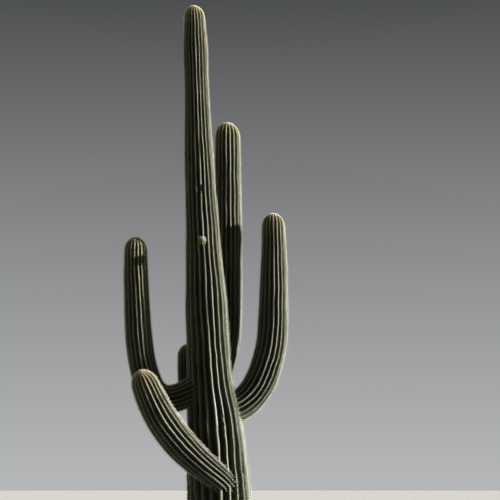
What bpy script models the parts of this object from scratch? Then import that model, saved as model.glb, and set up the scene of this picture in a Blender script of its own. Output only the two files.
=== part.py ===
"""Saguaro cactus: a ribbed trunk on a flared foot, four big arms, a short arm and a bud.

Metres, +Z up. The origin is the middle of the flat cut under the trunk, at ground level.
"""

import math
from dataclasses import dataclass

import bmesh
import bpy
import numpy as np

# The trunk stands on the flat cut and leans towards -X, most of all where the arms leave it.
TRUNK_HEIGHT = 6.71
# Height, and how far over the trunk's middle line is there.
TRUNK_LEAN = (
    (0.00, 0.000),
    (1.40, -0.078),
    (1.90, -0.107),
    (2.50, -0.168),
    (3.40, -0.222),
    (5.05, -0.308),
    (6.71, -0.370),
)
TRUNK_RIBS = 21
TRUNK_RING_STEP = 0.40
# Height, and radius over the crests of the ribs: the flared foot, the stout bole under the arms, and the slow
# taper above them, which a dry year has pinched here and there.
TRUNK_RADII = (
    (0.00, 0.385),
    (0.14, 0.356),
    (0.50, 0.342),
    (1.45, 0.332),
    (1.90, 0.308),
    (2.50, 0.246),
    (3.00, 0.228),
    (3.40, 0.220),
    (3.95, 0.190),
    (5.05, 0.156),
    (5.50, 0.140),
    (5.85, 0.131),
    (6.20, 0.132),
    (6.55, 0.119),
)

# Ribs, as shares of the radius over their crests. They fade into the corky foot.
RIB_DEPTH = 0.19
FOOT_RIB_DEPTH = 0.09
FOOT_RIB_HEIGHT = 0.55
# Places across one rib, from its crest at 0 to the valleys at -0.5 and 0.5.
RIB_POINTS = (-0.27, 0.0, 0.27, 0.5)
RIB_ROUNDNESS = 2.2

# A tip is a dome this many radii tall, with rings at these shares of its height.
DOME_HEIGHT = 1.3
DOME_RINGS = (0.0, 0.36, 0.66, 0.88)

ARM_RIBS = 19
ELBOW_RING_STEP = 0.15
ARM_RING_STEP = 0.45
PATH_POINTS = 240

BUD_HEIGHT = 4.00
BUD_HEADING = -90
BUD_RADIUS = 0.046
BUD_REACH = 0.29
BUD_RIBS = 9

GAP = 0.0003
SKIN_GREEN = (0.105, 0.135, 0.075, 1.0)
ARM_GREEN = (0.115, 0.150, 0.082, 1.0)
BUD_GREEN = (0.150, 0.190, 0.100, 1.0)


@dataclass
class Arm:
    """An arm that leaves the trunk, turns up in one elbow and rises. Headings are degrees from +X."""

    name: str
    leaves_at: float  # height on the trunk's middle line
    heading: float  # from the trunk to the foot of the upright stretch
    slope: float  # degrees above level as it sets out
    reach: float  # from the trunk's middle line to the foot of the upright stretch
    foot: float  # height of that foot
    lean: float  # degrees outwards there
    drift: float  # how much further out the tip stands
    tip: float  # height of the tip
    holds: tuple  # how far the elbow holds its first and its last heading
    radii: tuple  # over the rib crests: at the trunk, at the foot and under the dome
    swing: float = 0.0  # how far beside its heading it sets out
    veer: float = 0.0  # how far beside its heading its tip stands
    bend: float = 0.0  # share of the elbow's length at which two pieces meet, or 0 for an arm in one piece


ARMS = (
    Arm(
        name="arm_right",
        leaves_at=2.19, heading=20, slope=-16, reach=0.6875,
        foot=3.05, lean=2.9, drift=0.0645, tip=4.395,
        holds=(0.413, 0.48), radii=(0.165, 0.166, 0.127), veer=9.2, bend=0.60,
    ),
    Arm(
        name="arm_left",
        leaves_at=2.464, heading=191.2, slope=-5.4, reach=0.793,
        foot=3.03, lean=4.5, drift=0.042, tip=4.041,
        holds=(0.25, 1.20), radii=(0.146, 0.143, 0.126), swing=3, bend=0.52,
    ),
    Arm(
        name="arm_back",
        leaves_at=2.43, heading=68.6, slope=6, reach=0.468,
        foot=3.21, lean=0.3, drift=-0.017, tip=5.465,
        holds=(0.27, 0.37), radii=(0.124, 0.156, 0.143), swing=9, bend=0.65,
    ),
    Arm(
        name="arm_front",
        leaves_at=1.28, heading=-141, slope=20, reach=0.920,
        foot=2.306, lean=28.7, drift=0.131, tip=2.555,
        holds=(0.49, 0.90), radii=(0.126, 0.155, 0.145), swing=87, bend=0.55,
    ),
    Arm(
        name="arm_short",
        leaves_at=2.38, heading=129, slope=-4, reach=0.441,
        foot=2.55, lean=2.4, drift=0.006, tip=2.916,
        holds=(0.17, 0.29), radii=(0.095, 0.103, 0.101), swing=-8,
    ),
)


def smooth(stations, at):
    """Value at each place in `at`, on the smooth curve through a list of (place, value) stations."""
    places, values = np.array(stations, float).T
    slopes = np.gradient(values, places)
    at = np.clip(at, places[0], places[-1])
    left = np.clip(np.searchsorted(places, at) - 1, 0, len(places) - 2)
    width = places[left + 1] - places[left]
    t = (at - places[left]) / width
    start = values[left] * (1 + 2 * t) * (1 - t) ** 2 + slopes[left] * width * t * (1 - t) ** 2
    end = values[left + 1] * t**2 * (3 - 2 * t) - slopes[left + 1] * width * t**2 * (1 - t)
    return start + end


def bezier(controls, t):
    """Points at parameters t on the Bezier curve with these control points."""
    degree = len(controls) - 1
    weights = [math.comb(degree, i) * t**i * (1 - t) ** (degree - i) for i in range(degree + 1)]
    return sum(np.outer(weight, control) for weight, control in zip(weights, controls))


def direction(heading, elevation):
    """Unit vector at a heading and a height over level, both in degrees."""
    around, up = math.radians(heading), math.radians(elevation)
    return np.array([math.cos(around) * math.cos(up), math.sin(around) * math.cos(up), math.sin(up)])


def trunk_middle(height):
    """Point on the trunk's middle line at a height, or a row of them."""
    x = smooth(TRUNK_LEAN, height)
    return np.stack([x, 0 * x, height + 0 * x], axis=-1)


def rib_depth(height):
    return RIB_DEPTH - (RIB_DEPTH - FOOT_RIB_DEPTH) * np.exp(-height / FOOT_RIB_HEIGHT)


def ribbed_ring(middle, across, up, radius, depth, ribs, grow=0.0):
    """Points round one cross-section: crests at the radius, valleys a share `depth` of it further in."""
    turns = (np.arange(ribs)[:, None] + np.array(RIB_POINTS)) / ribs
    groove = np.abs(2 * np.array(RIB_POINTS)) ** RIB_ROUNDNESS
    reach = np.tile(radius * (1 - depth * groove) + grow, ribs)[:, None]
    angle = 2 * math.pi * turns.ravel()[:, None]
    return middle + reach * (np.cos(angle) * across + np.sin(angle) * up)


def add_object(name, mesh, color, roughness=0.75):
    """Puts a bmesh into the scene as a smooth-shaded object with its own material."""
    data = bpy.data.meshes.new(name)
    bmesh.ops.recalc_face_normals(mesh, faces=mesh.faces)
    mesh.to_mesh(data)
    mesh.free()
    data.shade_smooth()
    data.set_sharp_from_angle(angle=math.radians(50))
    material = bpy.data.materials.new(name)
    material.use_nodes = True
    shader = material.node_tree.nodes["Principled BSDF"]
    shader.inputs["Base Color"].default_value = color
    shader.inputs["Roughness"].default_value = roughness
    shader.inputs["Metallic"].default_value = 0.0
    data.materials.append(material)
    thing = bpy.data.objects.new(name, data)
    bpy.context.scene.collection.objects.link(thing)
    return thing


def skin_over(rings, apex=None):
    """A closed bmesh over a row of rings. A flat face closes its start, and an apex or a flat face its end."""
    mesh = bmesh.new()
    loops = [[mesh.verts.new(point) for point in ring] for ring in rings]
    for lower, upper in zip(loops, loops[1:]):
        for i in range(len(lower)):
            mesh.faces.new((lower[i - 1], lower[i], upper[i]))
            mesh.faces.new((lower[i - 1], upper[i], upper[i - 1]))
    mesh.faces.new(loops[0])
    if apex is None:
        mesh.faces.new(loops[-1])
        return mesh
    top = mesh.verts.new(apex)
    for i in range(len(loops[-1])):
        mesh.faces.new((loops[-1][i - 1], loops[-1][i], top))
    return mesh


def dome_stretch(length, radius):
    """Places along a limb of its dome's rings, and each ring's share of the radius at the dome's foot."""
    height = DOME_HEIGHT * radius
    rise = np.array(DOME_RINGS)
    return length - height * (1 - rise), np.sqrt(1 - rise**2)


def stepped(start, end, step):
    """Even places from start to end, about a step apart."""
    return np.linspace(start, end, max(1, round((end - start) / step)) + 1)


def trunk_rings(grow=0.0):
    dome_places, dome_shares = dome_stretch(TRUNK_HEIGHT, TRUNK_RADII[-1][1])
    flare_top = TRUNK_RADII[1][0]
    shaft = np.concatenate([[0.0], stepped(flare_top, dome_places[0], TRUNK_RING_STEP)[:-1]])
    heights = np.concatenate([shaft, dome_places])
    radii = smooth(TRUNK_RADII, heights) * np.concatenate([np.ones(len(shaft)), dome_shares])
    across, up = direction(0, 0), direction(90, 0)
    return [
        ribbed_ring(trunk_middle(height), across, up, radius, rib_depth(height), TRUNK_RIBS, grow)
        for height, radius in zip(heights, radii)
    ]


def arm_path(arm):
    """Points along an arm's middle line: one Bezier curve round the elbow and a gentler one up to the tip."""
    start = trunk_middle(arm.leaves_at)
    out = direction(arm.heading, 0)
    foot = start * (1, 1, 0) + out * arm.reach + (0, 0, arm.foot)
    beside = direction(arm.heading + arm.veer, 0)
    tip = start * (1, 1, 0) + beside * (arm.reach + arm.drift) + (0, 0, arm.tip)
    first = direction(arm.heading + arm.swing, arm.slope)
    last = direction(arm.heading, 90 - arm.lean)
    t = np.linspace(0, 1, PATH_POINTS)
    elbow = bezier((start, start + first * arm.holds[0], foot - last * arm.holds[1], foot), t)
    riser = bezier((foot, foot + last * (arm.tip - arm.foot) / 2, tip), t)
    return np.concatenate([elbow, riser[1:]]), PATH_POINTS - 1


def along(points):
    """Distance along a line of points, at each point."""
    steps = np.linalg.norm(np.diff(points, axis=0), axis=1)
    return np.concatenate([[0.0], np.cumsum(steps)])


def carried_frames(points):
    """Two unit vectors across a line at each point, carried along it without twisting."""
    forward = np.gradient(points, axis=0)
    forward /= np.linalg.norm(forward, axis=1)[:, None]
    across = np.cross(forward[0], (0, 0, 1))
    sideways = []
    for heading in forward:
        across = across - heading * across.dot(heading)
        across /= np.linalg.norm(across)
        sideways.append(across)
    sideways = np.array(sideways)
    return sideways, np.cross(sideways, forward)


def arm_pieces(arm):
    """Rings of each piece of an arm from the trunk outwards, and its tip. Pieces that meet end a gap apart."""
    points, foot_index = arm_path(arm)
    distance = along(points)
    across, up = carried_frames(points)
    foot_at = distance[foot_index]
    shoulder = arm.radii[-1]
    dome_places, dome_shares = dome_stretch(distance[-1], shoulder)
    radii = ((0.0, arm.radii[0]), (foot_at, arm.radii[1]), (dome_places[0], shoulder))

    def rings(places, shares=1.0):
        frames = [[np.interp(places, distance, row) for row in rows.T] for rows in (points, across, up)]
        sizes = smooth(radii, places) * shares
        rows = zip(*np.moveaxis(frames, 1, 2), sizes)
        return [ribbed_ring(*at, size, RIB_DEPTH, ARM_RIBS) for *at, size in rows]

    bends = [arm.bend * foot_at] if arm.bend else []
    starts = [0.0] + [bend + GAP / 2 for bend in bends]
    ends = [bend - GAP / 2 for bend in bends] + [foot_at]
    pieces = [rings(stepped(start, end, ELBOW_RING_STEP)) for start, end in zip(starts, ends)]
    pieces[-1] += rings(stepped(foot_at, dome_places[0], ARM_RING_STEP)[1:-1]) + rings(dome_places, dome_shares)
    return pieces, points[-1]


def islands(mesh):
    """The vertices of each loose piece of a bmesh."""
    left, found = set(mesh.verts), []
    for first in mesh.verts:
        if first not in left:
            continue
        left.remove(first)
        island = [first]
        for vert in island:
            near = [edge.other_vert(vert) for edge in vert.link_edges]
            fresh = [other for other in near if other in left]
            left.difference_update(fresh)
            island.extend(dict.fromkeys(fresh))
        found.append(island)
    return found


def cut_clear(thing, cutter):
    """Ends a limb on the trunk's skin, a gap clear of it, and drops the crumbs left between the trunk's ribs."""
    cut = thing.modifiers.new("meet_trunk", "BOOLEAN")
    cut.operation = "DIFFERENCE"
    cut.object = cutter
    graph = bpy.context.evaluated_depsgraph_get()
    mesh = bmesh.new()
    mesh.from_mesh(thing.evaluated_get(graph).to_mesh())
    crumbs = sorted(islands(mesh), key=len)[:-1]
    bmesh.ops.delete(mesh, geom=[vert for island in crumbs for vert in island], context="VERTS")
    for face in mesh.faces:
        face.material_index = 0
    thing.modifiers.clear()
    mesh.to_mesh(thing.data)
    mesh.free()


def make_trunk():
    add_object("trunk", skin_over(trunk_rings(), trunk_middle(TRUNK_HEIGHT)), SKIN_GREEN, 0.8)


def make_trunk_cutter():
    """The trunk, grown by twice the gap all round, because the slope of a rib's flank narrows it."""
    cutter = add_object("trunk_cutter", skin_over(trunk_rings(2 * GAP), trunk_middle(TRUNK_HEIGHT)), SKIN_GREEN)
    cutter.hide_render = True
    cutter.display_type = "WIRE"
    return cutter


def make_arm(arm, cutter):
    """An arm that bends round a wide gap is two pieces. The first piece ends on the trunk."""
    pieces, tip = arm_pieces(arm)
    names = [arm.name + "_elbow", arm.name + "_upper"] if arm.bend else [arm.name]
    for name, rings in zip(names, pieces):
        thing = add_object(name, skin_over(rings, tip if rings is pieces[-1] else None), ARM_GREEN)
        if rings is pieces[0]:
            cut_clear(thing, cutter)


def make_bud(cutter):
    """A young arm that has just broken out of a rib: a short ribbed dome on the trunk's skin."""
    out = direction(BUD_HEADING, 0)
    across, up = np.cross(out, (0, 0, 1)), np.array([0.0, 0.0, 1.0])
    start = trunk_middle(BUD_HEIGHT)
    dome_places, dome_shares = dome_stretch(BUD_REACH, BUD_RADIUS)
    places = np.concatenate([[dome_places[0] / 2], dome_places])
    radii = BUD_RADIUS * np.concatenate([[1.0], dome_shares])
    rings = [
        ribbed_ring(start + out * place, across, up, radius, RIB_DEPTH, BUD_RIBS)
        for place, radius in zip(places, radii)
    ]
    cut_clear(add_object("bud", skin_over(rings, start + out * BUD_REACH), BUD_GREEN), cutter)


def main():
    for thing in list(bpy.data.objects):
        bpy.data.objects.remove(thing)
    make_trunk()
    cutter = make_trunk_cutter()
    for arm in ARMS:
        make_arm(arm, cutter)
    make_bud(cutter)


main()
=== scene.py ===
"""Saguaro cactus, dressed: ribbed skins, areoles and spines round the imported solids. Metres, +Z up."""

import math
from dataclasses import dataclass

import bpy
import numpy as np
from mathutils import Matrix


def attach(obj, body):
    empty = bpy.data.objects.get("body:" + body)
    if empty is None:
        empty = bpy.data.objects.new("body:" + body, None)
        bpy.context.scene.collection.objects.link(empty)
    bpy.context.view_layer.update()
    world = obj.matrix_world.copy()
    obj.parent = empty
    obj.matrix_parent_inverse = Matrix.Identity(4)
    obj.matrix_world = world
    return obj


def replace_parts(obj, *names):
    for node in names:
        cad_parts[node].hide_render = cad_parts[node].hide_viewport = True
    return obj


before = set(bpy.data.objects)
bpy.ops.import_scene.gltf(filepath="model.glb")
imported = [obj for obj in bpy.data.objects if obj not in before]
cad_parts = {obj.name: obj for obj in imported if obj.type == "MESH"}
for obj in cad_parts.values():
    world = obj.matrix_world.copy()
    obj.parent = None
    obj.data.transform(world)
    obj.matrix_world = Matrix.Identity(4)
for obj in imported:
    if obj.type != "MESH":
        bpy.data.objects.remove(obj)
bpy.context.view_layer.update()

bl_info = {
    "name": "Saguaro cactus",
    "version": (1, 0, 0),
    "blender": (4, 5, 0),
    "location": "View3D > Sidebar > Saguaro",
    "description": "Grows the skins, areoles and spines of a many-armed saguaro, and sets up its studio",
    "category": "Add Mesh",
}

BODY = "root"

# The trunk stands on the flat cut and leans towards -X, most of all where the arms leave it.
TRUNK_HEIGHT = 6.71
# Height, and how far over the trunk's middle line is there.
TRUNK_LEAN = (
    (0.00, 0.000),
    (1.40, -0.078),
    (1.90, -0.107),
    (2.50, -0.168),
    (3.40, -0.222),
    (5.05, -0.308),
    (6.71, -0.370),
)
TRUNK_RIBS = 21
# Height, and radius over the crests of the ribs.
TRUNK_RADII = (
    (0.00, 0.385),
    (0.14, 0.356),
    (0.50, 0.342),
    (1.45, 0.332),
    (1.90, 0.308),
    (2.50, 0.246),
    (3.00, 0.228),
    (3.40, 0.220),
    (3.95, 0.190),
    (5.05, 0.156),
    (5.50, 0.140),
    (5.85, 0.131),
    (6.20, 0.132),
    (6.55, 0.119),
)
FOOT_RIB_SHARE = 0.47  # how much of the ribs' depth is left in the corky foot
FOOT_RIB_HEIGHT = 0.55

# Places across one rib, from its crest at 0 to the valley at 0.5.
RIB_POINTS = (-0.40, -0.26, -0.12, 0.0, 0.12, 0.26, 0.40, 0.5)
RIB_ROUNDNESS = 2.0

DOME_HEIGHT = 1.3  # a tip is a dome this many radii tall
DOME_POINTS = 60
TIP_REACH = 0.45  # how far down from a tip the growth counts as young
TIP_CROWDING = 0.42  # how much closer the areoles sit at the very tip
APEX_ARC = 0.004  # the last row stands this far from the tip

ARM_RIBS = 19
PATH_POINTS = 240  # on each of the two curves of an arm
ARM_SUNK = 0.16  # an arm's skin starts this far along its middle line, inside the trunk

BUD_HEIGHT = 4.00
BUD_HEADING = -90
BUD_RADIUS = 0.046
BUD_REACH = 0.29  # from the trunk's middle line to its tip
BUD_SUNK = 0.13  # its skin starts this far out, inside the trunk
BUD_RIBS = 9
BUD_ARMOUR = 0.35

# Living ribs stray from the pattern, by smooth noise. These are the most that they stray, as shares.
LONG_SWAY = 0.6  # of a rib's sideways sway, in long waves
SHORT_SWAY = 0.4  # and in short ones
AREOLE_DRIFT = 0.3  # of the step between areoles, along the rib
DEPTH_SPREAD = 0.16  # of a valley's depth
PINCH = 0.015  # of a limb's radius, as good and bad years left it
CREST_SPREAD = 0.024  # of the radius over one crest
CALM_REACH = 0.12  # sway and drift die away over this length below the tip
KNOB_WIDTH = 0.17  # of the swelling under an areole, in ribs
KNOB_RADIUS = 0.06  # a limb thinner than this swells less
NARROW_RIB = 0.008  # where ribs are narrower, only one in three keeps its areoles

# The trunk's foot is cork, in plates on larger blocks.
EDGE_WANDER = 0.45  # how much the height of its upper edge varies, as a share
CREST_CLIMB = 0.55  # how much further it climbs some crests, as a share
CORK_FADE = 0.30  # it thins out over this height
PLATE_HEIGHT = 0.010
PLATE_FLATNESS = 0.6  # a power: the smaller it is, the flatter the tops and the sharper the cracks
BLOCK_HEIGHT = 0.012
BLOCK_FLATNESS = 0.5
CRACK_DEPTH = 0.010
WORN_HEIGHT = 2.4  # up to here the old skin is dusted with cork and has shed some of its spines
WORN_SHARE = 0.45
WORN_PATCHES = 0.45  # how much that varies from place to place

# Old wounds that have healed to cork: limb, distance along it, degrees round from its across vector,
# length, width and depth.
SCARS = (
    ("trunk", 4.59, -84, 0.050, 0.026, 0.018),
    ("trunk", 2.06, -68, 0.060, 0.030, 0.008),
    ("trunk", 1.12, 164, 0.070, 0.036, 0.012),
    ("arm_right", 0.50, -10, 0.022, 0.016, 0.004),
    ("arm_right", 0.84, -5, 0.024, 0.016, 0.004),
)
# Across a scar, 1 is its outline. Its hollow and its cork reach a little further.
HOLLOW_REACH = 1.2
SCAR_CORK_REACH = 1.15
SCAR_CORK_FADE = 0.3
RIM_WIDTH = 0.35
RIM_SHARE = 0.3  # of the scar's depth

BARE_HEIGHT = 0.10  # the ground has rubbed the areoles off up to here
CORK_SHEDDING = 1.2  # chance that full cork sheds an areole

FELT_CORNERS = 6
FELT_SUNK = 0.0015
FELT_RISE = 0.0035
FELT_LENGTH = 1.25  # beside its width
FELT_GROWTH = 0.15  # how much smaller a pad is on old skin, as a share
FELT_FRESH = 0.25  # share of the pads on old skin that aren't weathered

SPINE_CORNERS = 3
SPINE_LIFT = 0.0015  # spines are rooted this far up in the felt
RADIAL_COUNT = 8
RADIAL_RING = 0.003  # and radial ones this far from its middle
RADIAL_STRAY = 0.3  # of the angle from one to the next
RADIAL_SLOPES = (0.25, 0.85)  # least and most, off the skin
RADIAL_LENGTHS = (0.7, 1.2)  # least and most, as shares
CENTRAL_COUNT = 4
CENTRAL_STOUTNESS = 1.25
CENTRAL_SIDEWAYS = (-0.55, 0.55)  # slopes across the rib
CENTRAL_UPWARDS = (-0.75, 0.35)  # slopes along the rib
CENTRAL_LENGTHS = (0.55, 1.15)
YOUNG_UPTURN = 0.6  # at the tip the central spines point further up
YOUNG_SHORTNESS = 0.35  # and are this much shorter, as a share
STRAW_SHARE = 0.30  # of the spines on old skin
YOUNG_STRAW_SHARE = 0.25  # more of them at the tip
HORN_FROM = 0.86  # a draw from 0 to 1 that comes above this gives a horn-brown spine

# Added to a limb's own seed, for draws apart from those of its skin.
SHEDDING_SEED = 20
FELT_SEED = 40
RADIAL_SEED = 60
CENTRAL_SEED = 80
TRUNK_SEED = 11
BUD_SEED = 97
FIRST_ARM_SEED = 20
ARM_SEED_STEP = 7

SKIN_ROUGHNESS = 0.52
CORK_ROUGHNESS = 0.92
WAX_IOR = 1.45
FIBRE_IOR = 1.54  # cellulose and lignin
PLAIN_IOR = 1.5
WAVE_LENGTH = 2 * math.pi / 20  # length of one band of Blender's wave texture at scale 1
LAID = "round_and_along"

FLOOR_RADIUS = 160.0
FLOOR_CORNERS = 96
SKY_LOW = "#a4a5a6"
SKY_HIGH = "#545556"
SKY_FADE = 0.32  # rise of the line of sight, as a sine, at which the sky is darkest
# Name, heading and height above level, softness, all in degrees, and strength.
LIGHTS = (
    ("key", 4.6, 18.7, 1.2, 12.5),
    ("back_fill", 115.0, 30.0, 60.0, 2.8),
)
CAMERA_PLACE = (0.264, -16.0, 1.45)
CAMERA_TILT = 98.805  # degrees up from straight down
CAMERA_LENS = 105.976  # in millimetres, as is the frame behind it
CAMERA_FRAME = 36.0
CAMERA_SIGHT = 600.0


@dataclass
class Arm:
    """An arm that leaves the trunk, turns up in one elbow and rises to its tip. Headings: degrees from +X."""

    name: str
    leaves_at: float  # height on the trunk's middle line
    heading: float  # from the trunk to the foot of the upright stretch
    slope: float  # degrees above level as it sets out
    reach: float  # from the trunk's middle line to the foot of the upright stretch
    foot: float  # height of that foot
    lean: float  # degrees outwards there
    drift: float  # how much further out the tip stands
    tip: float  # height of the tip
    holds: tuple  # how far the elbow holds its first and its last heading
    radii: tuple  # over the rib crests: at the trunk, at the foot and under the dome
    swing: float = 0.0  # how far beside its heading it sets out
    veer: float = 0.0  # how far beside its heading its tip stands
    solids: tuple = ("_elbow", "_upper")  # its CAD nodes, after its name


ARMS = (
    Arm(
        name="arm_right",
        leaves_at=2.19, heading=20, slope=-16, reach=0.6875,
        foot=3.05, lean=2.9, drift=0.0645, tip=4.395,
        holds=(0.413, 0.48), radii=(0.165, 0.166, 0.127), veer=9.2,
    ),
    Arm(
        name="arm_left",
        leaves_at=2.464, heading=191.2, slope=-5.4, reach=0.793,
        foot=3.03, lean=4.5, drift=0.042, tip=4.041,
        holds=(0.25, 1.20), radii=(0.146, 0.143, 0.126), swing=3,
    ),
    Arm(
        name="arm_back",
        leaves_at=2.43, heading=68.6, slope=6, reach=0.468,
        foot=3.21, lean=0.3, drift=-0.017, tip=5.465,
        holds=(0.27, 0.37), radii=(0.124, 0.156, 0.143), swing=9,
    ),
    Arm(
        name="arm_front",
        leaves_at=1.28, heading=-141, slope=20, reach=0.920,
        foot=2.306, lean=28.7, drift=0.131, tip=2.555,
        holds=(0.49, 0.90), radii=(0.126, 0.155, 0.145), swing=87,
    ),
    Arm(
        name="arm_short",
        leaves_at=2.38, heading=129, slope=-4, reach=0.441,
        foot=2.55, lean=2.4, drift=0.006, tip=2.916,
        holds=(0.17, 0.29), radii=(0.095, 0.103, 0.101), swing=-8, solids=("",),
    ),
)


def linear(hex_colour):
    """An sRGB hex colour as linear red, green, blue and alpha."""
    parts = [int(hex_colour[i : i + 2], 16) / 255 for i in (1, 3, 5)]
    parts = [part / 12.92 if part <= 0.04045 else ((part + 0.055) / 1.055) ** 2.4 for part in parts]
    return (*parts, 1.0)


def size_property(name, description, default):
    return bpy.props.FloatProperty(
        name=name, description=description, default=default, min=0.0, unit="LENGTH"
    )


def share_property(name, description, default):
    return bpy.props.FloatProperty(
        name=name, description=description, default=default, min=0.0, subtype="FACTOR"
    )


def colour_property(name, description, hex_colour):
    return bpy.props.FloatVectorProperty(
        name=name, description=description, default=linear(hex_colour),
        size=4, min=0.0, max=1.0, subtype="COLOR",
    )


class SaguaroSizes(bpy.types.PropertyGroup):
    """Sizes of the growth on the skin."""

    areole_step: size_property("Areole step", "Distance between areoles along a rib", 0.025)
    rib_depth: share_property(
        "Rib depth", "Depth of the valleys, as a share of the radius over the crests", 0.215
    )
    rib_sway: share_property("Rib sway", "How far a rib wanders sideways, as a share of its width", 0.16)
    inset: size_property(
        "Skin inset", "How far the skin lies inside the solids, as its spines stand out of them", 0.004
    )
    swell: size_property("Areole swell", "How far a crest swells under each areole", 0.0035)
    felt_width: size_property("Felt width", "Width of the felt pad in an areole", 0.011)
    radial_length: size_property("Radial spine", "Length of the spines that lie round an areole", 0.015)
    central_length: size_property(
        "Central spine", "Length of the spines that stand out of an areole", 0.021
    )
    spine_width: size_property(
        "Spine width", "Width of a spine at its foot, twice life size so that it shows", 0.0021
    )
    cork_height: size_property("Cork height", "Height that the corky foot reaches", 0.50)


class SaguaroColours(bpy.types.PropertyGroup):
    """Colours of the plant and of the floor."""

    skin: colour_property("Skin", "Waxy grey-green skin", "#3e4532")
    # Painted shade: the valleys between the ribs take this darker colour, besides being greener as the tissue
    # there is.
    skin_shade: colour_property("Skin in the valleys", "Greener skin between the ribs", "#262c1f")
    bloom: colour_property("Wax bloom", "Grey wax on the flanks of the ribs", "#505846")
    young: colour_property("Young skin", "Fresh skin near a tip", "#545b40")
    cork: colour_property("Cork", "Weathered cork of the foot and of old scars", "#7e796f")
    cork_brown: colour_property("Fresh cork", "Browner cork where the grey has worn off", "#675d4f")
    cork_shade: colour_property("Cork cracks", "Dark cracks in the cork", "#3b352e")
    felt: colour_property("Felt", "Wool of the areoles", "#aa9f80")
    felt_old: colour_property("Old felt", "Weathered wool of the areoles", "#6a655a")
    spine: colour_property("Spines", "Straw-coloured spines", "#d8cca8")
    spine_grey: colour_property("Old spines", "Chalky old spines", "#b8b3a6")
    spine_brown: colour_property("Brown spines", "Horn-brown spines", "#57493a")
    floor: colour_property("Floor", "Pale floor", "#918f8b")


def smooth(stations, at):
    """Value at each place in `at`, on the smooth curve through a list of (place, value) stations: a cubic between
    one station and the next, whose slope at a station comes from its neighbours."""
    places, values = np.array(stations, float).T
    slopes = np.gradient(values, places)
    at = np.clip(at, places[0], places[-1])
    left = np.clip(np.searchsorted(places, at) - 1, 0, len(places) - 2)
    width = places[left + 1] - places[left]
    t = (at - places[left]) / width
    start = values[left] * (1 + 2 * t) * (1 - t) ** 2 + slopes[left] * width * t * (1 - t) ** 2
    end = values[left + 1] * t**2 * (3 - 2 * t) - slopes[left + 1] * width * t**2 * (1 - t)
    return start + end


def sampled(table, at, places):
    """A table of rows at other places: each column in proportion between the rows at `at`."""
    return np.stack([np.interp(places, at, column) for column in table.T], axis=-1)


def bezier(controls, t):
    """Points at parameters t on the Bezier curve with these control points: their mean, weighted by the terms of
    (t + 1 - t) to the power of their number less one."""
    degree = len(controls) - 1
    weights = [math.comb(degree, i) * t**i * (1 - t) ** (degree - i) for i in range(degree + 1)]
    return sum(np.outer(weight, control) for weight, control in zip(weights, controls))


def direction(heading, elevation):
    """Unit vector at a heading and a height over level, both in degrees."""
    around, up = math.radians(heading), math.radians(elevation)
    return np.array([math.cos(around) * math.cos(up), math.sin(around) * math.cos(up), math.sin(up)])


def unit(vectors):
    """Vectors scaled to length 1."""
    return vectors / np.maximum(np.linalg.norm(vectors, axis=-1, keepdims=True), 1e-9)


def ease(x):
    """0 below 0, 1 above 1, and 3x squared less 2x cubed in between."""
    x = np.clip(x, 0.0, 1.0)
    return x * x * (3 - 2 * x)


def value_noise(turn, place, around, step, seed):
    """Smooth noise from -1 to 1: random values on a lattice of `around` cells to the turn and one every
    `step` metres, eased from each to the next. It closes on itself round the limb."""
    rows = int(np.max(place) / step) + 3
    lattice = np.random.default_rng(seed).uniform(-1, 1, (around, rows))
    x, y = np.broadcast_arrays((turn % 1.0) * around, np.maximum(place, 0.0) / step)
    i, j = x.astype(int) % around, y.astype(int)
    u, v = ease(x - np.floor(x)), ease(y - np.floor(y))
    near = lattice[i, j] * (1 - u) + lattice[(i + 1) % around, j] * u
    far = lattice[i, j + 1] * (1 - u) + lattice[(i + 1) % around, j + 1] * u
    return near * (1 - v) + far * v


def trunk_middle(height):
    """Point on the trunk's middle line at a height, or a row of them."""
    x = smooth(TRUNK_LEAN, height)
    return np.stack([x, 0 * x, height + 0 * x], axis=-1)


def arm_path(arm):
    """Points along an arm's middle line, and the index of its foot: one Bezier curve round the elbow to the
    foot, and a gentler one up to the tip."""
    start = trunk_middle(arm.leaves_at)
    out = direction(arm.heading, 0)
    foot = start * (1, 1, 0) + out * arm.reach + (0, 0, arm.foot)
    beside = direction(arm.heading + arm.veer, 0)
    tip = start * (1, 1, 0) + beside * (arm.reach + arm.drift) + (0, 0, arm.tip)
    first = direction(arm.heading + arm.swing, arm.slope)
    last = direction(arm.heading, 90 - arm.lean)
    t = np.linspace(0, 1, PATH_POINTS)
    elbow = bezier((start, start + first * arm.holds[0], foot - last * arm.holds[1], foot), t)
    riser = bezier((foot, foot + last * (arm.tip - arm.foot) / 2, tip), t)
    return np.concatenate([elbow, riser[1:]]), PATH_POINTS - 1


def along(points):
    """Distance along a line of points, at each point."""
    steps = np.linalg.norm(np.diff(points, axis=0), axis=1)
    return np.concatenate([[0.0], np.cumsum(steps)])


def carried_frames(points):
    """Two unit vectors across a line at each point, carried along it without twisting."""
    forward = unit(np.gradient(points, axis=0))
    across = np.cross(forward[0], (0, 0, 1))
    sideways = []
    for heading in forward:
        across = across - heading * across.dot(heading)
        across /= np.linalg.norm(across)
        sideways.append(across)
    sideways = np.array(sideways)
    return sideways, np.cross(forward, sideways)


@dataclass
class Limb:
    """A ribbed limb as rows from its start to its tip. Each row has a place along the limb, a point on the
    middle line, two vectors across, a radius over the crests and a rib depth as a share of it."""

    name: str
    seed: int
    ribs: int
    places: np.ndarray
    middle: np.ndarray
    across: np.ndarray
    up: np.ndarray
    radii: np.ndarray
    depths: np.ndarray
    tip: np.ndarray
    length: float
    armour: float = 1.0  # size of its felt and spines beside a grown limb's


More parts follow.
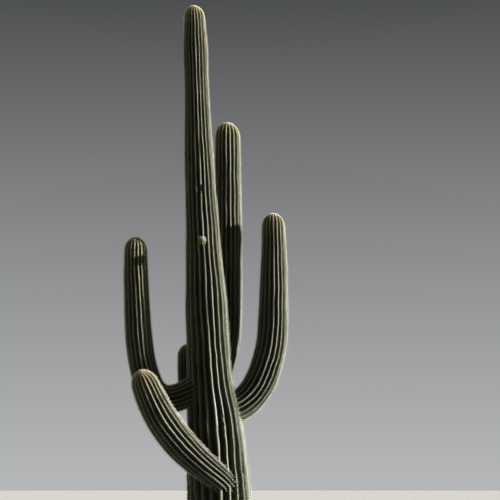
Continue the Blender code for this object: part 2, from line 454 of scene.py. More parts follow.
def tip_rows(start, length, shoulder, radius, step):
    """Places of a limb's rows and each one's share of the radius. The outline runs straight to the dome's foot
    and round a quarter ellipse to the tip. Rows stand `step` apart along it and close up towards the tip."""
    dome = DOME_HEIGHT * shoulder
    angles = np.linspace(0, math.pi / 2, DOME_POINTS)
    shaft = np.linspace(start, length - dome, 4 * DOME_POINTS)[:-1]
    places = np.concatenate([shaft, length - dome + dome * np.sin(angles)])
    shares = np.concatenate([np.ones(len(shaft)), np.cos(angles)])
    arc = along(np.stack([places, radius(places) * shares], axis=1))
    crowd = 1 - TIP_CROWDING * ease(1 - (arc[-1] - arc) / TIP_REACH)
    spacing = step * (crowd[1:] + crowd[:-1]) / 2
    count = np.concatenate([[0.0], np.cumsum(np.diff(arc) / spacing)])
    last = np.interp(arc[-1] - APEX_ARC, arc, count)
    wanted = np.linspace(0, last, round(last) + 1)
    at = np.interp(wanted, count, arc)
    return np.interp(at, arc, places), np.interp(at, arc, shares)


def trunk_limb(sizes):
    """The trunk: level rows up its leaning middle line."""
    shoulder = TRUNK_RADII[-1][1]
    heights, shares = tip_rows(
        0.0, TRUNK_HEIGHT, shoulder, lambda at: smooth(TRUNK_RADII, at), sizes.areole_step / 2
    )
    fade = FOOT_RIB_SHARE + (1 - FOOT_RIB_SHARE) * (1 - np.exp(-heights / FOOT_RIB_HEIGHT))
    rows = np.ones((len(heights), 1))
    return Limb(
        name="trunk", seed=TRUNK_SEED, ribs=TRUNK_RIBS, places=heights, middle=trunk_middle(heights),
        across=rows * direction(0, 0), up=rows * direction(90, 0),
        radii=smooth(TRUNK_RADII, heights) * shares, depths=sizes.rib_depth * fade,
        tip=trunk_middle(TRUNK_HEIGHT), length=TRUNK_HEIGHT,
    )


def arm_limb(arm, seed, sizes):
    """An arm: rows square to its middle line, from inside the trunk to the tip."""
    points, foot_index = arm_path(arm)
    distance = along(points)
    across, up = carried_frames(points)
    shoulder = arm.radii[-1]
    stations = (
        (0.0, arm.radii[0]),
        (distance[foot_index], arm.radii[1]),
        (distance[-1] - DOME_HEIGHT * shoulder, shoulder),
    )
    places, shares = tip_rows(
        ARM_SUNK, distance[-1], shoulder, lambda at: smooth(stations, at), sizes.areole_step / 2
    )
    return Limb(
        name=arm.name, seed=seed, ribs=ARM_RIBS, places=places,
        middle=sampled(points, distance, places),
        across=sampled(across, distance, places), up=sampled(up, distance, places),
        radii=smooth(stations, places) * shares, depths=np.full(len(places), sizes.rib_depth),
        tip=points[-1], length=distance[-1],
    )


def bud_limb(sizes):
    """A young arm that has just broken out of a rib: a short straight dome."""
    out = direction(BUD_HEADING, 0)
    start = trunk_middle(BUD_HEIGHT)
    places, shares = tip_rows(
        BUD_SUNK, BUD_REACH, BUD_RADIUS, lambda at: np.full(len(at), BUD_RADIUS), sizes.areole_step / 3
    )
    rows = np.ones((len(places), 1))
    return Limb(
        name="bud", seed=BUD_SEED, ribs=BUD_RIBS, places=places, middle=start + places[:, None] * out,
        across=rows * np.cross((0, 0, 1), out), up=rows * np.array([0.0, 0.0, 1.0]),
        radii=BUD_RADIUS * shares, depths=np.full(len(places), sizes.rib_depth),
        tip=start + out * BUD_REACH, length=BUD_REACH, armour=BUD_ARMOUR,
    )


def arm_limbs(sizes):
    """The arms, each with a seed of its own."""
    return [arm_limb(arm, FIRST_ARM_SEED + ARM_SEED_STEP * i, sizes) for i, arm in enumerate(ARMS)]


def bark_on(limb, sizes, turn, place, groove):
    """How far cork covers a limb, from 0 to 1, and how far it stands out of it. It ends in a ragged edge that
    climbs further up the crests, with a thin worn cover above. Its plates and blocks are noise without its sign,
    raised to a power, so that it is 0 in the cracks between them."""
    seed = limb.seed
    wander = value_noise(turn, place, around=9, step=0.25, seed=seed + 6)
    climb = value_noise(turn, place, around=limb.ribs, step=0.8, seed=seed + 10)
    edge = sizes.cork_height * (1 + EDGE_WANDER * wander)
    edge += sizes.cork_height * CREST_CLIMB * climb * (1 - groove)
    patches = value_noise(turn, place, around=14, step=0.30, seed=seed + 9)
    worn = WORN_SHARE * ease(1 - place / WORN_HEIGHT) * (1 - WORN_PATCHES + WORN_PATCHES * patches)
    cork = np.maximum(ease((edge - place) / CORK_FADE), worn)
    plates = np.abs(value_noise(turn, place, around=52, step=0.045, seed=seed + 7)) ** PLATE_FLATNESS
    blocks = np.abs(value_noise(turn, place, around=27, step=0.11, seed=seed + 8)) ** BLOCK_FLATNESS
    return cork, cork * (PLATE_HEIGHT * plates + BLOCK_HEIGHT * blocks - CRACK_DEPTH)


def scars_on(limb, turn, place):
    """For each scar of a limb, how far cork covers it and how far it stands out: an oval hollow in a low rim.
    The spread is the distance from its middle, in half lengths up and half widths across."""
    for name, at, around, length, width, sunk in SCARS:
        if name == limb.name:
            sideways = ((turn * 360 - around + 180) % 360 - 180) * math.pi / 180 * limb.radii[:, None]
            spread = np.sqrt((sideways / width) ** 2 + ((place - at) / length) ** 2)
            rim = RIM_SHARE * sunk * np.exp(-(((spread - 1) / RIM_WIDTH) ** 2))
            cork = ease((SCAR_CORK_REACH - spread) / SCAR_CORK_FADE)
            yield cork, rim - sunk * ease(HOLLOW_REACH - spread)


@dataclass
class Skin:
    """A limb's skin as a grid of rows by columns, with what its material and spines need at each point."""

    points: np.ndarray
    normals: np.ndarray
    rise: np.ndarray
    turns: np.ndarray
    groove: np.ndarray
    cork: np.ndarray
    young: np.ndarray
    areoles: np.ndarray


def skin_of(limb, sizes):
    """The grid over a limb. A point is the middle line plus the radius along the angle's direction, where the
    radius is the crest's less the groove: depth times |2u| squared for u from crest to valley. Noise sways the
    ribs sideways, pinches the limb and lets crests differ. Every second point of a crest swells for its
    areole, the other ribs half a step out of phase. Cork lies on the trunk, from the foot up, and on scars."""
    ribs, across_points = np.arange(limb.ribs), np.array(RIB_POINTS)
    rib_number = np.repeat(ribs, len(across_points))[None, :]
    place = limb.places[:, None]
    turn = ((ribs[:, None] + across_points) / limb.ribs).ravel()[None, :]
    u = np.tile(across_points, limb.ribs)[None, :]
    seed = limb.seed
    calm = ease((limb.length - place) / CALM_REACH)

    sway = value_noise(turn, place, around=max(3, limb.ribs // 3), step=0.42, seed=seed) * LONG_SWAY
    sway += value_noise(turn, place, around=limb.ribs // 2, step=0.12, seed=seed + 1) * SHORT_SWAY
    angle = 2 * math.pi * (turn + calm * sway * sizes.rib_sway / limb.ribs)
    drift = value_noise(turn, place, around=limb.ribs, step=0.35, seed=seed + 2)
    slide = place + calm * drift * sizes.areole_step * AREOLE_DRIFT

    groove = np.abs(2 * u) ** RIB_ROUNDNESS * np.ones_like(place)
    deeper = value_noise(turn, place, around=limb.ribs, step=0.5, seed=seed + 3)
    depth = limb.depths[:, None] * (1 + DEPTH_SPREAD * deeper)
    pinch = 1 + PINCH * value_noise(turn, place, around=3, step=0.33, seed=seed + 4)
    crest = 1 + CREST_SPREAD * value_noise(turn, place, around=limb.ribs, step=0.22, seed=seed + 5)
    radius = limb.radii[:, None] * pinch * crest * (1 - depth * groove)

    rows, columns = radius.shape
    phase = (np.arange(rows)[:, None] + rib_number) % 2 == 0
    knob = np.exp(-((u / KNOB_WIDTH) ** 2))
    radius += sizes.swell * (phase - 0.5) * knob * ease(limb.radii[:, None] / KNOB_RADIUS)

    cork = np.zeros((rows, columns))
    if limb.name == "trunk":
        cork, relief = bark_on(limb, sizes, turn, place, groove)
        radius += relief
    for cover, relief in scars_on(limb, turn, place):
        cork = np.maximum(cork, cover)
        radius += relief

    line = sampled(limb.middle, limb.places, slide)
    outwards = np.cos(angle)[..., None] * limb.across[:, None, :]
    outwards = outwards + np.sin(angle)[..., None] * limb.up[:, None, :]
    points = line + radius[..., None] * outwards
    points[..., 2] = np.maximum(points[..., 2], 0.0)
    if limb.name == "trunk":
        points[0, :, 2] = 0.0

    rise = unit(np.gradient(points, axis=0))
    sideways = np.roll(points, -1, axis=1) - np.roll(points, 1, axis=1)
    normals = unit(np.cross(sideways, rise))
    points -= normals * sizes.inset * (1, 1, 0 if limb.name == "trunk" else 1)
    reach = min(TIP_REACH, limb.length / 3)
    young = ease(1 - (limb.length - place) / reach) * np.ones((rows, columns))
    crowded = limb.radii[:, None] * 2 * math.pi / limb.ribs < NARROW_RIB
    areoles = phase & (u == 0) & ~(crowded & (rib_number % 3 > 0))
    return Skin(points, normals, rise, turn * limb.ribs, groove, cork, young, areoles)


def add_piece(name, points, faces, materials, material_index=None):
    """Puts vertices and faces, each a whole array, into the scene as a piece that rides on the body."""
    mesh = bpy.data.meshes.new(name)
    corners = np.concatenate([part.ravel() for part in faces])
    sizes = np.concatenate([np.full(len(part), part.shape[1]) for part in faces])
    starts = np.concatenate([[0], np.cumsum(sizes)[:-1]])
    mesh.vertices.add(len(points))
    mesh.vertices.foreach_set("co", points.astype(np.float32).ravel())
    mesh.loops.add(len(corners))
    mesh.loops.foreach_set("vertex_index", corners.astype(np.int32))
    mesh.polygons.add(len(sizes))
    mesh.polygons.foreach_set("loop_start", starts.astype(np.int32))
    mesh.polygons.foreach_set("loop_total", sizes.astype(np.int32))
    for material in materials:
        mesh.materials.append(material)
    if material_index is not None:
        mesh.polygons.foreach_set("material_index", material_index.astype(np.int32))
    mesh.update(calc_edges=True)
    piece = bpy.data.objects.new(name, mesh)
    bpy.context.scene.collection.objects.link(piece)
    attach(piece, BODY)
    return piece


def enclosed(points, faces):
    """Volume inside closed faces: a sixth of the determinants of the triangles that each one fans into."""
    total = 0.0
    for part in faces:
        for k in range(1, part.shape[1] - 1):
            total += np.linalg.det(points[part[:, [0, k, k + 1]]]).sum() / 6
    return total


def lay_round(piece, limb, turns):
    """Texture coordinates of a skin's faces, in the order of its grid, its tip and its start: ribs round the
    limb, and metres along it."""
    shape = len(limb.places), turns.shape[1]
    around = np.broadcast_to(turns, shape)
    wrapped = np.roll(around, -1, axis=1)
    wrapped[:, -1] += limb.ribs
    up = np.broadcast_to(limb.places[:, None], shape)
    corner_u = np.stack([around[:-1], wrapped[:-1], wrapped[1:], around[1:]], axis=-1)
    corner_v = np.stack([up[:-1], up[:-1], up[1:], up[1:]], axis=-1)
    sides = np.stack([corner_u, corner_v], axis=-1)
    middle = (around[0] + wrapped[0]) / 2
    tip = np.full(shape[1], limb.length)
    top = np.stack([around[-1], up[-1], wrapped[-1], up[-1], middle, tip], axis=-1)
    bottom = np.stack([wrapped[0], up[0], around[0], up[0], middle, up[0]], axis=-1)
    corners = np.concatenate([sides.ravel(), top.ravel(), bottom.ravel()])
    piece.data.uv_layers.new(name=LAID).uv.foreach_set("vector", corners.astype(np.float32))


def add_skin(limb, skin, inset, material):
    """Joins a skin's grid with quads, closes it round, and ends it in a fan at the tip and one at the
    start."""
    rows, columns = skin.points.shape[:2]
    count = rows * columns
    index = np.arange(count).reshape(rows, columns)
    right = np.roll(index, -1, axis=1)
    sides = np.stack([index[:-1], right[:-1], right[1:], index[1:]], axis=-1).reshape(-1, 4)
    top = np.stack([index[-1], right[-1], np.full(columns, count)], axis=-1)
    bottom = np.stack([right[0], index[0], np.full(columns, count + 1)], axis=-1)
    base = skin.points[0].mean(axis=0)
    tip = limb.tip - unit(skin.normals[-1].mean(axis=0)) * inset
    points = np.concatenate([skin.points.reshape(-1, 3), [tip, base]])
    faces = [sides, top, bottom]
    if enclosed(points, faces) <= 0:
        raise ValueError(f"the skin of {limb.name} is inside out")
    piece = add_piece(limb.name + "_skin", points, faces, [material])
    piece.data.shade_smooth()
    for name, values in (("groove", skin.groove), ("cork", skin.cork), ("young", skin.young)):
        attribute = piece.data.attributes.new(name, "FLOAT", "POINT")
        ends = [values[-1].mean(), values[0].mean()]
        attribute.data.foreach_set("value", np.concatenate([values.ravel(), ends]).astype(np.float32))
    lay_round(piece, limb, skin.turns)
    return piece


def areole_places(limb, skin):
    """Point, outward normal, rise along the rib and youth of each areole. Cork sheds its own."""
    rng = np.random.default_rng(limb.seed + SHEDDING_SEED)
    keep = skin.areoles & (rng.random(skin.areoles.shape) > skin.cork * CORK_SHEDDING)
    keep &= skin.points[..., 2] > BARE_HEIGHT
    rise, normal = skin.rise[keep], skin.normals[keep]
    normal = unit(normal - rise * (rise * normal).sum(axis=1, keepdims=True))
    return skin.points[keep], normal, rise, skin.young[keep]


def add_felts(limb, places, sizes, materials):
    """A woolly pad in each areole: a hexagonal dome, longer up the rib than across, closed underneath."""
    points, normal, rise, young = places
    side = np.cross(rise, normal)
    angles = np.arange(FELT_CORNERS) * 2 * math.pi / FELT_CORNERS
    ring = (
        np.cos(angles)[None, :, None] * side[:, None]
        + FELT_LENGTH * np.sin(angles)[None, :, None] * rise[:, None]
    )
    fullness = 1 - FELT_GROWTH + FELT_GROWTH * young
    ring *= limb.armour * sizes.felt_width / 2 * fullness[:, None, None]
    foot = points - normal * FELT_SUNK
    top = points + normal * FELT_RISE
    vertices = np.concatenate([foot[:, None] + ring, top[:, None]], axis=1)
    start = np.arange(len(points))[:, None, None] * (FELT_CORNERS + 1)
    turn = np.arange(FELT_CORNERS)
    fan = np.arange(1, FELT_CORNERS - 1)
    dome = start + np.stack([turn, np.roll(turn, -1), np.full(FELT_CORNERS, FELT_CORNERS)], axis=-1)
    under = start + np.stack([0 * fan, fan + 1, fan], axis=-1)
    faces = np.concatenate([dome, under], axis=1)
    rng = np.random.default_rng(limb.seed + FELT_SEED)
    tint = (rng.random(len(points)) > FELT_FRESH + young).astype(int)
    add_piece(
        limb.name + "_areoles", vertices.reshape(-1, 3), [faces.reshape(-1, 3)], materials,
        np.repeat(tint, faces.shape[1]),
    )


def add_spines(name, roots, headings, lengths, width, tints, materials):
    """Needles as slim three-sided points: three corners round the root, square to the heading, and the
    tip."""
    helper = np.where(np.abs(headings[:, 2:]) > 0.8, (1.0, 0.0, 0.0), (0.0, 0.0, 1.0))
    side = unit(np.cross(headings, helper))
    other = np.cross(headings, side)
    angles = np.arange(SPINE_CORNERS) * 2 * math.pi / SPINE_CORNERS
    ring = np.cos(angles)[None, :, None] * side[:, None] + np.sin(angles)[None, :, None] * other[:, None]
    feet = roots[:, None] + width / 2 * ring
    tips = roots + headings * lengths[:, None]
    vertices = np.concatenate([feet, tips[:, None]], axis=1).reshape(-1, 3)
    start = np.arange(len(roots))[:, None, None] * (SPINE_CORNERS + 1)
    needle = np.array([[0, 1, 3], [1, 2, 3], [2, 0, 3], [2, 1, 0]])
    faces = (start + needle).reshape(-1, 3)
    add_piece(name, vertices, [faces], materials, np.repeat(tints, len(needle)))


def spine_tints(rng, young, count):
    """0 straw, 1 chalky, 2 horn-brown for each spine. Straw is commonest near a tip."""
    draw = rng.random((len(young), count))
    straw = STRAW_SHARE + YOUNG_STRAW_SHARE * young[:, None]
    return np.where(draw < straw, 0, np.where(draw < HORN_FROM, 1, 2))


def add_radials(limb, places, sizes, materials):
    """Spines that lie round each areole like a star, lifted a little off the skin."""
    points, normal, rise, young = places
    rng = np.random.default_rng(limb.seed + RADIAL_SEED)
    side = np.cross(rise, normal)
    stray = rng.uniform(-RADIAL_STRAY, RADIAL_STRAY, (len(points), RADIAL_COUNT))
    angle = (np.arange(RADIAL_COUNT) + stray) * 2 * math.pi / RADIAL_COUNT
    flat = np.cos(angle)[..., None] * side[:, None] + np.sin(angle)[..., None] * rise[:, None]
    lift = rng.uniform(*RADIAL_SLOPES, angle.shape)[..., None]
    heading = unit(flat + lift * normal[:, None])
    root = points[:, None] + flat * RADIAL_RING + normal[:, None] * SPINE_LIFT
    length = limb.armour * sizes.radial_length * rng.uniform(*RADIAL_LENGTHS, angle.shape)
    tints = spine_tints(rng, young, RADIAL_COUNT)
    add_spines(
        limb.name + "_radial_spines", root.reshape(-1, 3), heading.reshape(-1, 3), length.ravel(),
        sizes.spine_width, tints.ravel(), materials,
    )


def add_centrals(limb, places, sizes, materials):
    """Stouter spines that stand out of each areole, the lower ones leaning down the rib."""
    points, normal, rise, young = places
    rng = np.random.default_rng(limb.seed + CENTRAL_SEED)
    side = np.cross(rise, normal)
    shape = len(points), CENTRAL_COUNT
    sideways = rng.uniform(*CENTRAL_SIDEWAYS, shape)[..., None]
    upwards = (rng.uniform(*CENTRAL_UPWARDS, shape) + YOUNG_UPTURN * young[:, None])[..., None]
    heading = unit(normal[:, None] + sideways * side[:, None] + upwards * rise[:, None])
    root = np.broadcast_to((points + normal * SPINE_LIFT)[:, None], heading.shape)
    length = limb.armour * sizes.central_length * rng.uniform(*CENTRAL_LENGTHS, shape)
    length *= 1 - YOUNG_SHORTNESS * young[:, None]
    tints = spine_tints(rng, young, CENTRAL_COUNT)
    add_spines(
        limb.name + "_central_spines", root.reshape(-1, 3), heading.reshape(-1, 3), length.ravel(),
        sizes.spine_width * CENTRAL_STOUTNESS, tints.ravel(), materials,
    )


def feed(tree, value, socket):
    """Gives a socket a value, or links it to an output or to a node's first live output."""
    if isinstance(value, bpy.types.Node):
        value = next(one for one in value.outputs if one.enabled)
    if isinstance(value, bpy.types.NodeSocket):
        tree.links.new(value, socket)
    else:
        socket.default_value = value


def add_node(tree, kind, inputs=None, **settings):
    """Adds a node. Settings are its own properties. Inputs go by name, or by number where names repeat."""
    made = tree.nodes.new(kind)
    for key, value in settings.items():
        setattr(made, key, value)
    for key, value in (inputs or {}).items():
        if isinstance(key, int):
            socket = made.inputs[key]
        else:
            socket = next(one for one in made.inputs if one.name == key and one.enabled)
        feed(tree, value, socket)
    return made


def per_metre(millimetres):
    """Texture scale, on coordinates in metres, of a pattern that repeats about every so many
    millimetres."""
    return 1000 / millimetres


def new_material(name, roughness, ior=PLAIN_IOR):
    """A node material with its tree and its shader."""
    material = bpy.data.materials.new(name)
    material.use_nodes = True
    shader = material.node_tree.nodes["Principled BSDF"]
    shader.inputs["Roughness"].default_value = roughness
    shader.inputs["IOR"].default_value = ior
    return material, material.node_tree, shader


def fibre_material(name, colour, roughness):
    """One colour for things too small to show a pattern, which are dealt out in several colours instead."""
    material, _, shader = new_material(name, roughness, FIBRE_IOR)
    shader.inputs["Base Color"].default_value = colour
    return material


def tissue_colour(tree, place, groove, young, colours, base):
    """Green tissue under wax: greener and painted darker in the valleys, as painted shade, and yellower where it
    is young or has had more sun.
    """
    # The wax lies in clouds about 140 mm across. It is thinnest down in the valleys, so the skin there is
    # greener, and it is also painted darker there, as painted shade between the ribs.
    clouds = add_node(
        tree, "ShaderNodeTexNoise",
        {"Vector": place, "Scale": per_metre(140), "Detail": 5.0, "Roughness": 0.6},
    )
    wax = add_node(
        tree, "ShaderNodeMapRange",
        {"Value": clouds, "From Min": 0.38, "From Max": 0.66, "To Max": 0.75},
    )
    waxy = add_node(
        tree, "ShaderNodeMix", {"Factor": wax, "A": base, "B": colours.bloom}, data_type="RGBA"
    )
    # Painted shade: the groove mixes the colour towards the darker valley colour, most at the bottom of each
    # valley.
    valley = add_node(
        tree, "ShaderNodeMix", {"Factor": groove, "A": waxy, "B": colours.skin_shade}, data_type="RGBA"
    )
    # Whole stretches half a metre long are yellower, where the plant has had more sun, as are the tips.
    sunned = add_node(
        tree, "ShaderNodeTexNoise", {"Vector": place, "Scale": per_metre(500), "Detail": 2.0}
    )
    sun = add_node(
        tree, "ShaderNodeMapRange",
        {"Value": sunned, "From Min": 0.45, "From Max": 0.70, "To Max": 0.45},
    )
    fresh = add_node(
        tree, "ShaderNodeMath", {0: young, 1: 0.8, 2: sun}, operation="MULTIPLY_ADD", use_clamp=True
    )
    return add_node(
        tree, "ShaderNodeMix", {"Factor": fresh, "A": valley, "B": colours.young}, data_type="RGBA"
    )


def scab_cover(tree, place):
    """0.8 on a dry scab and 0 beside it."""
    # Scabs about 9 mm wide stand 45 mm apart. Only about one cell in three has one.
    cells = add_node(tree, "ShaderNodeTexVoronoi", {"Vector": place, "Scale": per_metre(45)})
    chosen = add_node(tree, "ShaderNodeSeparateColor", {"Color": cells.outputs["Color"]})
    spread = add_node(tree, "ShaderNodeMath", {0: chosen, 1: 0.30}, operation="MULTIPLY")
    scab = add_node(
        tree, "ShaderNodeMath", {0: cells.outputs["Distance"], 1: spread}, operation="SUBTRACT"
    )
    return add_node(
        tree, "ShaderNodeMapRange",
        {"Value": scab, "From Min": -0.14, "From Max": -0.10, "To Min": 0.8, "To Max": 0.0},
    )


def flaking_bark(tree, place, cork, colours):
    """Colour of the cork, how far it covers the skin, and its plates: 1 on a plate and 0.2 in a crack."""
    # Cork weathers in patches about 60 mm wide, and splits lengthwise into long plates about 25 mm across.
    stretched = add_node(tree, "ShaderNodeMapping", {"Vector": place, "Scale": (1.0, 1.0, 0.42)})
    worn = add_node(
        tree, "ShaderNodeTexNoise",
        {"Vector": stretched, "Scale": per_metre(60), "Detail": 6.0, "Roughness": 0.65},
    )
    weather = add_node(tree, "ShaderNodeMapRange", {"Value": worn, "From Min": 0.40, "From Max": 0.60})
    weathered = add_node(
        tree, "ShaderNodeMix", {"Factor": weather, "A": colours.cork_brown, "B": colours.cork},
        data_type="RGBA",
    )
    ridges = add_node(
        tree, "ShaderNodeTexNoise",
        {
            "Vector": stretched, "Scale": per_metre(25), "Detail": 6.0, "Roughness": 0.75,
            "Offset": 0.9, "Gain": 1.0,
        },
        noise_type="RIDGED_MULTIFRACTAL", normalize=True,
    )
    plates = add_node(
        tree, "ShaderNodeMapRange",
        {"Value": ridges, "From Min": 0.4, "From Max": 0.9, "To Min": 1.0, "To Max": 0.2},
    )
    # Where the cork is thin it comes off plate by plate, so its edge is ragged and flecks of it lie above.
    thick = add_node(tree, "ShaderNodeMath", {0: plates, 1: 0.7, 2: cork}, operation="MULTIPLY_ADD")
    cover = add_node(tree, "ShaderNodeMapRange", {"Value": thick, "From Min": 0.7, "From Max": 1.0})
    cracked = add_node(
        tree, "ShaderNodeMix", {"Factor": plates, "A": colours.cork_shade, "B": weathered},
        data_type="RGBA",
    )
    return cracked, cover, plates


def skin_material(name, colours, base):
    """Living cactus skin: green tissue under a thin plant wax, which turns to cork where it is old."""
    # The wax is rubbed and dusty, so the skin is matt with a faint sheen on the crests.
    material, tree, shader = new_material(name, SKIN_ROUGHNESS, WAX_IOR)
    place = add_node(tree, "ShaderNodeTexCoord").outputs["Object"]
    laid = add_node(tree, "ShaderNodeUVMap", uv_map=LAID)
    groove, cork, young = [
        add_node(tree, "ShaderNodeAttribute", attribute_name=measure).outputs["Fac"]
        for measure in ("groove", "cork", "young")
    ]
    tissue = tissue_colour(tree, place, groove, young, colours, base)
    scabs = scab_cover(tree, place)
    scabbed = add_node(
        tree, "ShaderNodeMix", {"Factor": scabs, "A": tissue, "B": colours.cork_brown}, data_type="RGBA"
    )
    bark, cover, plates = flaking_bark(tree, place, cork, colours)
    colour = add_node(
        tree, "ShaderNodeMix", {"Factor": cover, "A": scabbed, "B": bark}, data_type="RGBA"
    )
    feed(tree, colour, shader.inputs["Base Color"])

    # Cork is dry and dull where the wax has a little gloss.
    rough = add_node(
        tree, "ShaderNodeMapRange", {"Value": cover, "To Min": SKIN_ROUGHNESS, "To Max": CORK_ROUGHNESS}
    )
    feed(tree, rough, shader.inputs["Roughness"])

    # Creases cross the ribs every 8 mm, coarser than the 2 mm of life, which would not show.
    creases = add_node(
        tree, "ShaderNodeTexWave",
        {
            "Vector": laid, "Scale": per_metre(8) * WAVE_LENGTH, "Distortion": 9.0,
            "Detail": 3.0, "Detail Scale": 1.8,
        },
        bands_direction="Y",
    )
    grain = add_node(tree, "ShaderNodeTexNoise", {"Vector": place, "Scale": per_metre(6), "Detail": 4.0})
    bark_height = add_node(tree, "ShaderNodeMath", {0: plates, 1: cover}, operation="MULTIPLY")
    # Each layer of relief has a strength and a depth in metres.
    relief = None
    for height, strength, depth in (
        (creases.outputs["Fac"], 0.28, 0.0012),
        (grain, 0.50, 0.0010),
        (scabs, 0.50, 0.0010),
        (bark_height, 0.90, 0.0080),
    ):
        inputs = {"Height": height, "Strength": strength, "Distance": depth}
        if relief:
            inputs["Normal"] = relief
        relief = add_node(tree, "ShaderNodeBump", inputs)
    feed(tree, relief, shader.inputs["Normal"])
    return material


def lay_floor(scene, colour):
    """A level disc of matt paint. It has no gloss, so it is as pale from one side as from another."""
    angles = np.linspace(0, 2 * math.pi, FLOOR_CORNERS, endpoint=False)
    rim = np.stack([np.cos(angles), np.sin(angles), 0 * angles], axis=1) * FLOOR_RADIUS
    mesh = bpy.data.meshes.new("floor")
    mesh.from_pydata(rim.tolist(), [], [list(range(FLOOR_CORNERS))])
    paint, _, shader = new_material("matt_floor_paint", roughness=0.95)
    shader.inputs["Base Color"].default_value = colour
    shader.inputs["Specular IOR Level"].default_value = 0.0
    mesh.materials.append(paint)
    floor = bpy.data.objects.new("floor", mesh)
    scene.collection.objects.link(floor)


def paint_sky(scene):
    """A backdrop that is pale at the horizon and darkens with the height of the direction one looks in."""
    world = bpy.data.worlds.new("studio")
    scene.world = world
    world.use_nodes = True
    tree = world.node_tree
    background = tree.nodes["Background"]
    across = add_node(tree, "ShaderNodeTexCoord").outputs["Generated"]
    height = add_node(tree, "ShaderNodeSeparateXYZ", {"Vector": across}).outputs["Z"]
    fade = add_node(tree, "ShaderNodeMapRange", {"Value": height, "From Min": 0.0, "From Max": SKY_FADE})
    sky = add_node(
        tree, "ShaderNodeMix", {"Factor": fade, "A": linear(SKY_LOW), "B": linear(SKY_HIGH)},
        data_type="RGBA",
    )
    feed(tree, sky, background.inputs["Color"])
    background.inputs["Strength"].default_value = 1.0


def hang_lights(scene):
    """Lamps as far off as the sun, whose width in the sky makes their shadows soft."""
    for name, heading, height, softness, strength in LIGHTS:
        lamp = bpy.data.lights.new(name, "SUN")
        lamp.angle = math.radians(softness)
        lamp.energy = strength
        light = bpy.data.objects.new(name, lamp)
        light.rotation_euler = (0.0, math.radians(90 - height), math.radians(heading))
        scene.collection.objects.link(light)


def set_camera(scene):
    """A camera at eye height with a long lens, tilted up."""
    lens = bpy.data.cameras.new("camera")
    lens.sensor_width = CAMERA_FRAME
    lens.lens = CAMERA_LENS
    lens.clip_end = CAMERA_SIGHT
    camera = bpy.data.objects.new("camera", lens)
    camera.location = CAMERA_PLACE
    camera.rotation_euler = (math.radians(CAMERA_TILT), 0.0, 0.0)
    scene.collection.objects.link(camera)
    scene.camera = camera
    scene.view_settings.view_transform = "Standard"
    scene.view_settings.look = "High Contrast"


class SAGUARO_OT_trunk(bpy.types.Operator):
    """Grow the trunk's ribbed skin, with its corky foot and old scars"""

    bl_idname = "saguaro.trunk"
    bl_label = "Trunk"

    def execute(self, context):
        sizes, colours = context.scene.saguaro_sizes, context.scene.saguaro_colours
        limb = trunk_limb(sizes)
        material = skin_material("waxy_trunk_skin", colours, colours.skin)
        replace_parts(add_skin(limb, skin_of(limb, sizes), sizes.inset, material), "trunk")
        return {"FINISHED"}


class SAGUARO_OT_arms(bpy.types.Operator):
    """Grow the arms' ribbed skins, each in one piece from inside the trunk to its tip"""

    bl_idname = "saguaro.arms"
    bl_label = "Arms"

    def execute(self, context):
        sizes, colours = context.scene.saguaro_sizes, context.scene.saguaro_colours
        material = skin_material("waxy_arm_skin", colours, colours.skin)
        for arm, limb in zip(ARMS, arm_limbs(sizes)):
            piece = add_skin(limb, skin_of(limb, sizes), sizes.inset, material)
            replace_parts(piece, *[arm.name + solid for solid in arm.solids])
        return {"FINISHED"}


class SAGUARO_OT_bud(bpy.types.Operator):
    """Grow the skin of the young bud on the trunk"""

    bl_idname = "saguaro.bud"
    bl_label = "Bud"

    def execute(self, context):
        sizes, colours = context.scene.saguaro_sizes, context.scene.saguaro_colours
        limb = bud_limb(sizes)
        material = skin_material("young_waxy_skin", colours, colours.young)
        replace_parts(add_skin(limb, skin_of(limb, sizes), sizes.inset, material), "bud")
        return {"FINISHED"}


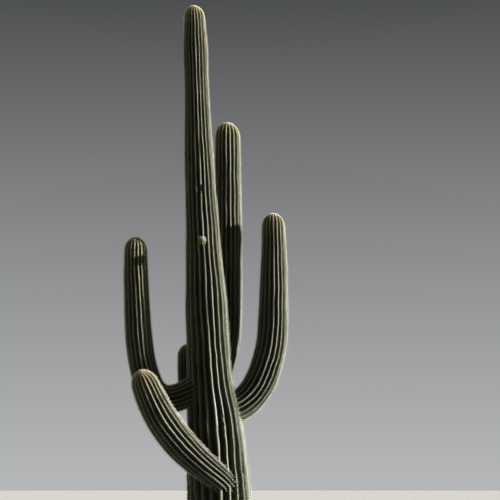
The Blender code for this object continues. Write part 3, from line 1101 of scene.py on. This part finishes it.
class SAGUARO_OT_spines(bpy.types.Operator):
    """Set the felt pads and the spines in the areoles of every limb"""

    bl_idname = "saguaro.spines"
    bl_label = "Areoles and spines"

    def execute(self, context):
        sizes, colours = context.scene.saguaro_sizes, context.scene.saguaro_colours
        # Felt is matted plant wool: fine fibres with no gloss at all, so it is dull from every side.
        felts = [
            fibre_material("areole_felt", colours.felt, roughness=0.95),
            fibre_material("areole_felt_weathered", colours.felt_old, roughness=0.95),
        ]
        # Spines are hard woody fibre under a thin smooth skin, so a fresh one glints. An old one is chalky.
        needles = [
            fibre_material("spine_straw", colours.spine, roughness=0.45),
            fibre_material("spine_chalky", colours.spine_grey, roughness=0.6),
            fibre_material("spine_horn", colours.spine_brown, roughness=0.45),
        ]
        for limb in (trunk_limb(sizes), *arm_limbs(sizes), bud_limb(sizes)):
            places = areole_places(limb, skin_of(limb, sizes))
            add_felts(limb, places, sizes, felts)
            add_radials(limb, places, sizes, needles)
            add_centrals(limb, places, sizes, needles)
        return {"FINISHED"}


class SAGUARO_OT_stage(bpy.types.Operator):
    """Lay the pale floor and set the backdrop, the lights and the camera"""

    bl_idname = "saguaro.stage"
    bl_label = "Stage"

    def execute(self, context):
        scene = context.scene
        lay_floor(scene, scene.saguaro_colours.floor)
        paint_sky(scene)
        hang_lights(scene)
        set_camera(scene)
        return {"FINISHED"}


class SAGUARO_PT_panel(bpy.types.Panel):
    """Lists the steps that grow the saguaro, with its sizes and colours"""

    bl_label = "Saguaro"
    bl_idname = "SAGUARO_PT_panel"
    bl_space_type = "VIEW_3D"
    bl_region_type = "UI"
    bl_category = "Saguaro"

    def draw(self, context):
        for step in STEPS:
            self.layout.operator(step.bl_idname)
        for group in (context.scene.saguaro_sizes, context.scene.saguaro_colours):
            for name in group.__annotations__:
                self.layout.prop(group, name)


STEPS = (SAGUARO_OT_trunk, SAGUARO_OT_arms, SAGUARO_OT_bud, SAGUARO_OT_spines, SAGUARO_OT_stage)
CLASSES = (SaguaroSizes, SaguaroColours, *STEPS, SAGUARO_PT_panel)


def register():
    for one in CLASSES:
        bpy.utils.register_class(one)
    bpy.types.Scene.saguaro_sizes = bpy.props.PointerProperty(type=SaguaroSizes)
    bpy.types.Scene.saguaro_colours = bpy.props.PointerProperty(type=SaguaroColours)


def unregister():
    del bpy.types.Scene.saguaro_colours
    del bpy.types.Scene.saguaro_sizes
    for one in reversed(CLASSES):
        bpy.utils.unregister_class(one)


def main():
    """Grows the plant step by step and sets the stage."""
    register()
    bpy.ops.saguaro.trunk()
    bpy.ops.saguaro.arms()
    bpy.ops.saguaro.bud()
    bpy.ops.saguaro.spines()
    bpy.ops.saguaro.stage()


if __name__ == "__main__":
    main()
